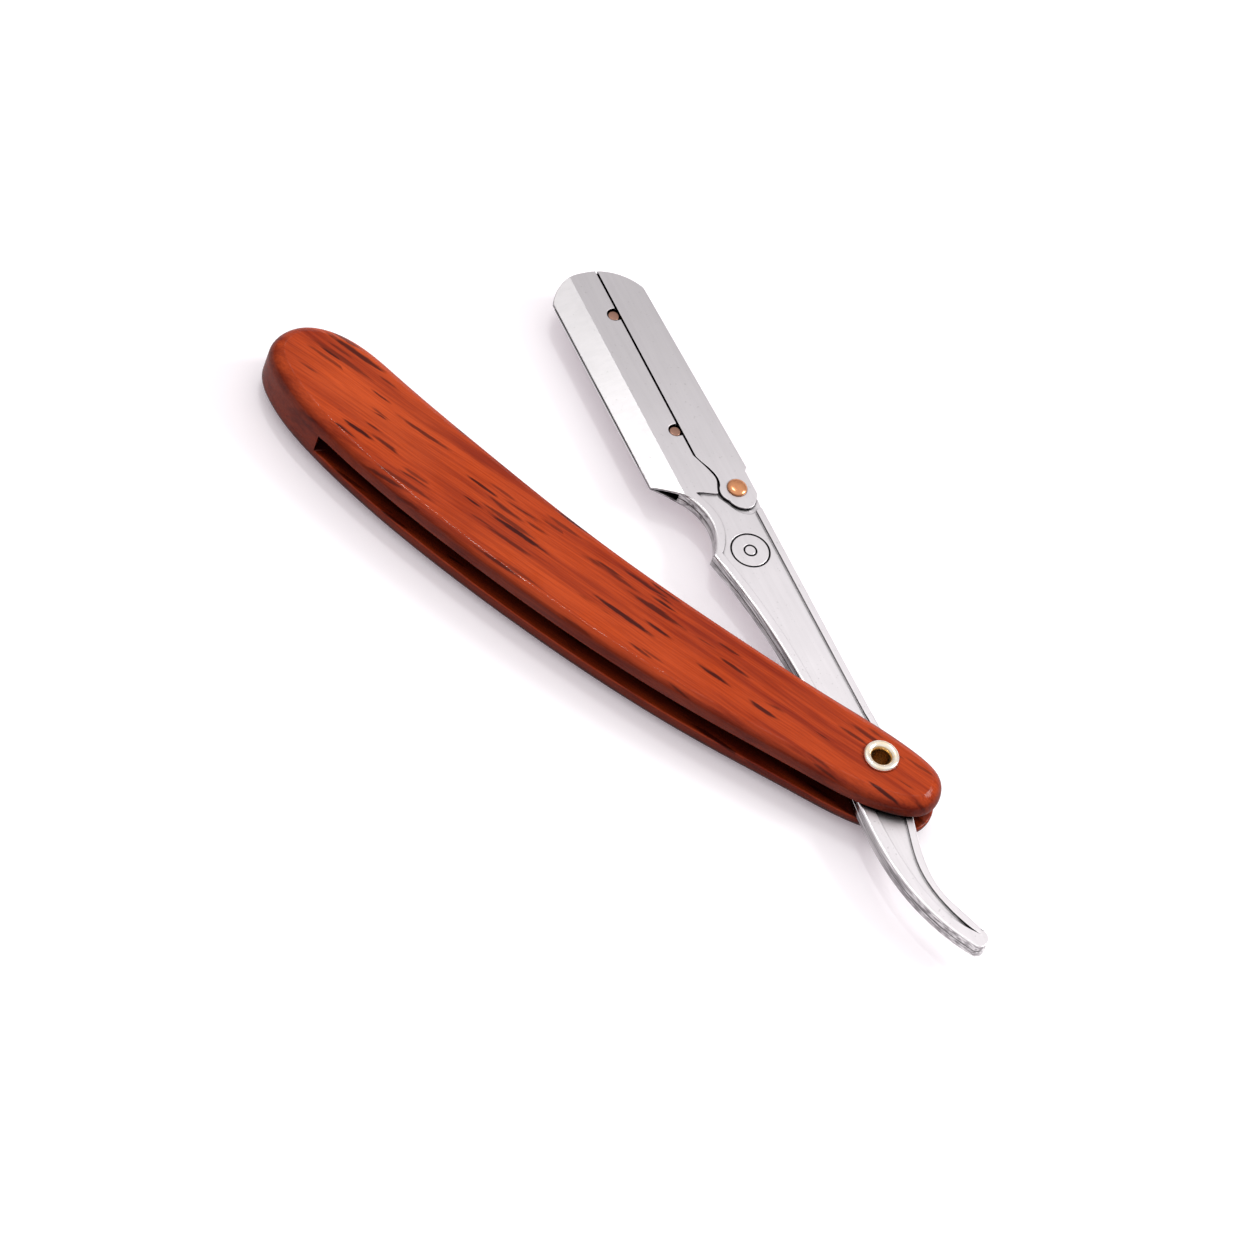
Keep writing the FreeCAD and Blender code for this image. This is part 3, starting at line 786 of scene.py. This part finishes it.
def polish_and_sheen_along(nodes, place):
    """Where the steel is lighter, partly for its polish and partly as a painted sheen: 0 at the
    arm's nose and 1 by its pivot.
    """
    turn = math.radians(ARM_DIRECTION)
    reach = nodes.vector("DOT_PRODUCT", place, (math.cos(turn), math.sin(turn), 0.0))
    return nodes.remap(reach, POLISH_AND_SHEEN_FROM, POLISH_AND_SHEEN_TO, 1.0, 0.0)


def wall_pits_and_shade(nodes, s, place, turned):
    """Dark marks on upright walls: pits near the neck's flange, and painted shade in lines drawn
    along the arm, which darkens every upright wall.
    """
    away = nodes.vector("DISTANCE", place, s.flange_at)
    near = nodes.remap(away, 0.007, 0.013, 1.0, 0.0)
    pits = nodes.remap(nodes.noise(place, 520, 6.0, 0.68), 0.42, 0.66)
    drawn = nodes.noise(nodes.stretch(turned, (60, 1400, 2600)), 1.0, 3.0, 0.6)
    drawn = nodes.remap(drawn, 0.36, 0.62, 0.38, 0.85)
    upright = nodes.remap(levelness(nodes), 0.2, 0.8, 1.0, 0.0)
    marks = nodes.math("MAXIMUM", nodes.math("MULTIPLY", pits, near), drawn)
    return nodes.math("MULTIPLY", marks, upright)


def steel(name, s, colour_rgb, roughness, line_depth, turn_degrees, pits_and_shade=False):
    """Stainless steel with fine finishing lines turned by turn_degrees, with painted shade in its
    seams and deep gaps, dark along the engraved rings, and lighter towards the pivot, partly for its
    polish and partly as a painted sheen."""
    mat, nodes, shader = material(name, Metallic=1.0)
    place = object_place(nodes)
    turned = nodes.stretch(place, (1, 1, 1), (0, 0, 0), (0, 0, -math.radians(turn_degrees)))
    lines = nodes.group(brushing(), turned)
    marks = nodes.group(handling(), place)
    darker = tuple(c * 0.96 for c in colour_rgb)
    tone = nodes.mix(nodes.remap(lines["Streaks"], 0.3, 0.7), darker, colour_rgb)
    # lighter towards the pivot: partly polish, partly painted sheen
    polish_and_sheen_tone = nodes.mix(polish_and_sheen_along(nodes, place), WHITE, (s.polish_and_sheen,) * 3)
    tone = nodes.multiply(tone, polish_and_sheen_tone)
    tone = nodes.mix(nodes.math("MULTIPLY", marks["Specks"], 0.35), tone, DULL_SPECK)
    # pits near the flange, and painted shade over the upright walls
    if pits_and_shade:
        tone = nodes.mix(wall_pits_and_shade(nodes, s, place, turned), tone, WALL_SHADE)
    # painted shade in seams and corners
    seam = nodes.group(crevices(), place, **{"Distance": 0.0009})["Depth"]
    tone = nodes.mix(nodes.remap(seam, 0.14, 0.50), tone, SEAM_SHADE)
    # painted shade deep in narrow gaps
    inside = nodes.group(crevices(), place, **{"Distance": 0.006})["Depth"]
    tone = nodes.mix(nodes.remap(inside, 0.50, 0.85), tone, INSIDE_SHADE)
    tone = nodes.mix(engraved_rings(nodes, place, s), tone, s.engraving)
    nodes.link(tone, shader.inputs["Base Color"])
    rough = nodes.remap(lines["Lines"], 0.25, 0.75, roughness - 0.05, roughness + 0.06)
    rough = nodes.math("ADD", rough, nodes.math("MULTIPLY", marks["Smudges"], 0.05))
    nodes.link(rough, shader.inputs["Roughness"])
    nodes.link(nodes.bump(lines["Lines"], line_depth, 0.6), shader.inputs["Normal"])
    return mat


def engraved_rings(nodes, place, s):
    """1 on two rings round the ring centre, on the upper half only, and 0 elsewhere."""
    out = nodes.vector("SUBTRACT", place, s.ring_at)
    radius = nodes.vector("LENGTH", nodes.vector("MULTIPLY", out, (1, 1, 0)))
    far = [nodes.math("ABSOLUTE", nodes.math("SUBTRACT", radius, r))
           for r in (s.ring_outer, s.ring_inner)]
    half = s.ring_line / 2
    line = nodes.remap(nodes.math("MINIMUM", *far), 0.8 * half, 1.2 * half, 1.0, 0.0)
    return nodes.math("MULTIPLY", line, nodes.math("GREATER_THAN", nodes.parts(place)["Z"], 0.0))


def worn_metal(name, colour_rgb, tarnish_rgb, roughness):
    """Polished rivet metal, a little tarnished in its smudges."""
    mat, nodes, shader = material(name, Metallic=1.0)
    place = object_place(nodes)
    marks = nodes.group(handling(), place, **{"Smudge Size": 0.0022, "Speck Size": 0.0003})
    tone = nodes.mix(nodes.math("MULTIPLY", marks["Smudges"], 0.6), colour_rgb, tarnish_rgb)
    tone = nodes.mix(nodes.math("MULTIPLY", marks["Specks"], 0.5), tone, tarnish_rgb)
    nodes.link(tone, shader.inputs["Base Color"])
    nodes.link(nodes.remap(marks["Smudges"], 0.0, 1.0, roughness, roughness + 0.14),
               shader.inputs["Roughness"])
    fine = nodes.noise(place, 2600, 3.0)
    nodes.link(nodes.bump(fine, 0.00002, 0.35), shader.inputs["Normal"])
    return mat


# --- steel pieces from the frame ---
FLAT_UP = 0.995              # a face is a flat where its normal's height is over this,
BEVEL_UP = 0.955             # a bevel down to this, and below it a wall or a round
LEVEL_UP = 0.9999            # from here a face is level enough to be shaded flat,
BROAD_AREA = 20 * MM * MM    # and from here it is broad enough


def eased_copy(node, name, width):
    """The CAD node's shape with its loose triangles joined, flats cleared and edges eased."""
    mesh = frame["nodes"][node].data.copy()
    mesh.name = name
    tidy = bmesh.new()
    tidy.from_mesh(mesh)
    bmesh.ops.remove_doubles(tidy, verts=tidy.verts, dist=2e-6)
    bmesh.ops.dissolve_limit(tidy, angle_limit=math.radians(0.5), verts=tidy.verts,
                             edges=tidy.edges)
    tidy.to_mesh(mesh)
    tidy.free()
    mesh.materials.clear()
    obj = placed(name, mesh, 30.0)
    bevel = obj.modifiers.new("Eased edges", "BEVEL")
    bevel.width = width
    bevel.segments = 2
    bevel.limit_method = "ANGLE"
    bevel.angle_limit = math.radians(30)
    bevel.use_clamp_overlap = False
    bevel.material = -1
    return obj


def finish_steel(obj, finishes):
    """Satin on flats, ground on bevels and bright on walls and rounds. Level and broad faces are
    shaded flat, and the rest smooth."""
    for mat in finishes:
        obj.data.materials.append(mat)
    count = len(obj.data.polygons)
    normal = np.zeros(count * 3, np.float32)
    area = np.zeros(count, np.float32)
    obj.data.polygons.foreach_get("normal", normal)
    obj.data.polygons.foreach_get("area", area)
    up = np.abs(normal.reshape(-1, 3)[:, 2])
    slot = np.where(up > FLAT_UP, 0, np.where(up > BEVEL_UP, 1, 2))
    obj.data.polygons.foreach_set("material_index", slot.astype(np.int32))
    obj.data.polygons.foreach_set("use_smooth", (up < LEVEL_UP) & (area < BROAD_AREA))


# --- operators ---
def rides(obj, body, slot, *nodes):
    """The piece stands for these CAD nodes and moves with the body. The slot is not used."""
    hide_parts(*nodes)
    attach(obj, body)


class RAZOR_OT_handle(bpy.types.Operator):
    """Shapes the wooden handle and lacquers it"""
    bl_idname = "razor.handle"
    bl_label = "Handle"

    def execute(self, context):
        s = context.scene.razor_handle
        handle = handle_body(s)
        handle.data.materials.append(lacquered_wood(s))
        rides(handle, "handle", "handle_wood", "handle")
        return {"FINISHED"}


class RAZOR_OT_arm(bpy.types.Operator):
    """Eases and finishes the two halves of the arm and the clip over their back"""
    bl_idname = "razor.arm"
    bl_label = "Arm and clip"

    def execute(self, context):
        s = context.scene.razor_steel
        finishes = (steel("Satin steel", s, s.satin, 0.36, 0.000004, ARM_DIRECTION),
                    steel("Ground steel", s, s.ground, 0.33, 0.000004, ARM_DIRECTION + 90),
                    steel("Bright steel", s, s.bright, 0.17, 0.000002, ARM_DIRECTION, True))
        for node, body, slot in (("front_arm", "front_arm", "arm_steel"),
                                 ("back_arm", "back_arm", "arm_steel"),
                                 ("spine_clip", "spine_clip", "clip_steel")):
            piece = eased_copy(node, node + "_eased", s.ease)
            finish_steel(piece, finishes)
            rides(piece, body, slot, node)
        return {"FINISHED"}


class RAZOR_OT_fittings(bpy.types.Operator):
    """Turns the pivot eyelet, the clip's rivet and the two blade pins"""
    bl_idname = "razor.fittings"
    bl_label = "Eyelet, rivet and pins"

    def execute(self, context):
        s = context.scene.razor_fittings
        self.eyelet(s, context.scene.razor_handle.hole_radius)
        self.rivet(s)
        copper = worn_metal("Dull copper", s.dull_copper, s.pin_tarnish, 0.34)
        for node in ("heel_pin", "toe_pin"):
            self.pin(s, node, copper)
        return {"FINISHED"}

    def eyelet(self, s, tube_r):
        """A tube of radius tube_r whose ends are rolled out over the cheeks: its section is a
        quarter of an ellipse from the bore up to the crest and another down to the rim."""
        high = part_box("pivot_eyelet")[1]
        rim_r, crest_z = high.x, high.z
        cheek_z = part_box("handle")[1].z
        flare = quarter_round(s.bore, crest_z - s.flare, s.crest, crest_z, 14)
        roll = quarter_round(rim_r, cheek_z + 0.12 * MM, s.crest, crest_z, 10)[::-1]
        foot = [(rim_r - 0.1 * MM, cheek_z), (tube_r, cheek_z)]
        upper = np.vstack([flare, roll[1:], foot])
        lower = upper[::-1] * np.array([1, -1])
        eyelet = lathe("eyelet", np.vstack([upper, lower, upper[:1]]), (0, 0, 0))
        eyelet.data.materials.append(worn_metal("Plated brass", s.nickel, s.brass, 0.16))
        eyelet.data.materials.append(worn_metal("Bare brass", s.brass, s.brass_tarnish, 0.22))
        for face in eyelet.data.polygons:
            inside = math.hypot(face.center.x, face.center.y) < s.bore + s.bare
            face.material_index = int(inside)
        rides(eyelet, "handle", "eyelet_brass", "pivot_eyelet")

    def rivet(self, s):
        """A shank with a head at each end. The head's radius, going up its dome, falls as a sine
        to the power of 0.9 while its height rises as the opposite sine."""
        low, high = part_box("clip_rivet")
        head_r = (high.x - low.x) / 2
        dome = quarter_round(head_r, s.seat + s.rim, 0.0, high.z, 16)
        dome[:, 0] = head_r * np.sin(np.linspace(math.pi / 2, 0, 16)) ** 0.9
        under = [(s.shank, s.seat), (head_r - 0.06 * MM, s.seat), (head_r, s.seat + 0.05 * MM)]
        upper = np.vstack([under, dome])
        profile = np.vstack([upper[::-1], upper * np.array([1, -1])])
        rivet = lathe("rivet", profile, clip_pivot())
        rivet.data.materials.append(worn_metal("Copper", s.copper, s.copper_tarnish, 0.18))
        rides(rivet, "back_arm", "rivet_copper", "clip_rivet")

    def pin(self, s, node, copper):
        """A short rod with rounded edges and slightly crowned ends."""
        low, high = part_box(node)
        r = (high.x - low.x) / 2
        shoulder_z = high.z - 0.05 * MM
        corner = quarter_round(r, shoulder_z - s.pin_edge, r - s.pin_edge, shoulder_z, 5)
        upper = np.vstack([corner, [(r * 0.4, high.z - 0.012 * MM), (0.0, high.z)]])
        profile = np.vstack([upper[::-1], upper * np.array([1, -1])])
        pin = lathe(node + "_turned", profile, ((low.x + high.x) / 2, (low.y + high.y) / 2, 0), 64)
        pin.data.materials.append(copper)
        rides(pin, "back_arm", "pin_copper", node)


class RAZOR_OT_blade(bpy.types.Operator):
    """Gives the half blade its ground steel finish"""
    bl_idname = "razor.blade"
    bl_label = "Half blade"

    def execute(self, context):
        s = context.scene.razor_steel
        mesh = frame["nodes"]["half_blade"].data
        mesh.materials.clear()
        mesh.materials.append(steel("Blade steel", s, s.bright, 0.2, 0.000002, ARM_DIRECTION))
        return {"FINISHED"}


LAMPS = (
    # name, place, length and width, watts, direction of the length. Places and sizes in metres.
    ("Overhead strip", (-0.265, 0.185, 0.83), (0.24, 0.035), 0.95, (-0.92, 0.37, -0.3)),
    ("Key softbox", (0.55, 0.42, 0.60), (0.30, 0.30), 4.0, (0.6, -0.8, 0.0)),
)
FLOOR_NEAR, FLOOR_FAR = -1.2, 1.6    # metres along Y
FLOOR_SIDE = 2.0                     # metres to each side
BEND_AT, BEND_R = 1.0, 0.5           # where the floor turns up, and how wide


class RAZOR_OT_stage(bpy.types.Operator):
    """Sets the pale floor, the soft lights and the camera"""
    bl_idname = "razor.stage"
    bl_label = "Stage"

    def execute(self, context):
        s = context.scene.razor_stage
        self.floor(s)
        self.world(s)
        for name, place, size, power, long_way in LAMPS:
            self.softbox(name, place, Vector(s.aim), size, power, long_way)
        self.camera(s)
        context.scene.view_settings.view_transform = "Standard"
        return {"FINISHED"}

    def floor(self, s):
        """A level floor under the razor that turns up behind it by a quarter circle."""
        y = np.linspace(FLOOR_NEAR, FLOOR_FAR, 57)
        past = np.clip((y - BEND_AT) / (FLOOR_FAR - BEND_AT), 0, 1) * math.pi / 2
        z = CAD_BOX[0][2] + BEND_R * (1 - np.cos(past))
        y = np.where(y < BEND_AT, y, BEND_AT + BEND_R * np.sin(past))
        x = np.linspace(-FLOOR_SIDE, FLOOR_SIDE, 9)
        points = np.stack(np.broadcast_arrays(x[None, :], y[:, None], z[:, None]), -1)
        mesh = bpy.data.meshes.new("floor")
        mesh.from_pydata(points.reshape(-1, 3).tolist(), [],
                         grid_faces(len(y), len(x), False).tolist())
        floor = placed("floor", mesh, 60.0)
        mat, nodes, shader = material("Paper floor", Roughness=0.9, Specular_IOR_Level=0.1)
        tooth = nodes.noise(object_place(nodes), 900, 3.0)
        nodes.link(nodes.mix(tooth, s.floor, tuple(0.985 * c for c in s.floor)),
                   shader.inputs["Base Color"])
        shader.inputs["Emission Color"].default_value = solid(s.glow_tint)
        shader.inputs["Emission Strength"].default_value = s.glow
        floor.data.materials.append(mat)

    def world(self, s):
        """Light from all round: white from above, and a dimmer purplish grey from low down."""
        world = bpy.context.scene.world or bpy.data.worlds.new("Studio")
        bpy.context.scene.world = world
        world.use_nodes = True
        nodes = Nodes(world.node_tree)
        background = world.node_tree.nodes["Background"]
        way = nodes.add("ShaderNodeTexCoord").outputs["Generated"]
        height = nodes.remap(nodes.parts(way)["Z"], 0.0, 1.0)
        nodes.link(nodes.mix(height, s.low_sky, s.high_sky), background.inputs["Color"])
        background.inputs["Strength"].default_value = s.room

    def softbox(self, name, place, aim, size, power, long_way):
        """An area light at place that faces aim, its longer side turned along long_way."""
        data = bpy.data.lights.new(name, "AREA")
        data.shape = "RECTANGLE"
        data.size, data.size_y = size
        data.energy = power
        lamp = bpy.data.objects.new(name, data)
        z = (Vector(place) - aim).normalized()
        x = Vector(long_way)
        x = (x - z * x.dot(z)).normalized()
        turn = Matrix((x, z.cross(x), z)).transposed().to_4x4()
        lamp.matrix_world = Matrix.Translation(place) @ turn
        bpy.context.scene.collection.objects.link(lamp)

    def camera(self, s):
        """Looks along the azimuth and down the elevation, rolled about its line of sight."""
        tilt = math.pi / 2 - s.elevation
        turn = (Matrix.Rotation(s.azimuth, 4, "Z") @ Matrix.Rotation(tilt, 4, "X")
                @ Matrix.Rotation(s.roll, 4, "Z"))
        back = turn @ Vector((0, 0, 1))
        data = bpy.data.cameras.new("camera")
        data.lens = s.focal
        data.sensor_width = 36.0
        data.clip_end = 20.0
        camera = bpy.data.objects.new("camera", data)
        camera.matrix_world = Matrix.Translation(Vector(s.aim) + back * s.distance) @ turn
        bpy.context.scene.collection.objects.link(camera)
        bpy.context.scene.camera = camera


class RAZOR_PT_sidebar(bpy.types.Panel):
    bl_idname = "RAZOR_PT_sidebar"
    bl_label = "Straight razor"
    bl_space_type = "VIEW_3D"
    bl_region_type = "UI"
    bl_category = "Razor"

    def draw(self, context):
        for operator, attribute in SECTIONS:
            box = self.layout.box()
            box.operator(operator.bl_idname)
            settings = getattr(context.scene, attribute)
            for name in settings.bl_rna.properties.keys():
                if name not in ("rna_type", "name"):
                    box.prop(settings, name)


SETTINGS = {
    "razor_handle": HandleSettings,
    "razor_steel": SteelSettings,
    "razor_fittings": FittingSettings,
    "razor_stage": StageSettings,
}
SECTIONS = (
    (RAZOR_OT_handle, "razor_handle"),
    (RAZOR_OT_arm, "razor_steel"),
    (RAZOR_OT_fittings, "razor_fittings"),
    (RAZOR_OT_blade, "razor_steel"),
    (RAZOR_OT_stage, "razor_stage"),
)
CLASSES = (*SETTINGS.values(), *(operator for operator, _ in SECTIONS), RAZOR_PT_sidebar)


def register():
    for cls in CLASSES:
        bpy.utils.register_class(cls)
    for attribute, cls in SETTINGS.items():
        setattr(bpy.types.Scene, attribute, bpy.props.PointerProperty(type=cls))


def unregister():
    for attribute in SETTINGS:
        delattr(bpy.types.Scene, attribute)
    for cls in reversed(CLASSES):
        bpy.utils.unregister_class(cls)


def main():
    register()
    bpy.ops.razor.handle()
    bpy.ops.razor.arm()
    bpy.ops.razor.fittings()
    bpy.ops.razor.blade()
    bpy.ops.razor.stage()


if __name__ == "__main__":
    main()
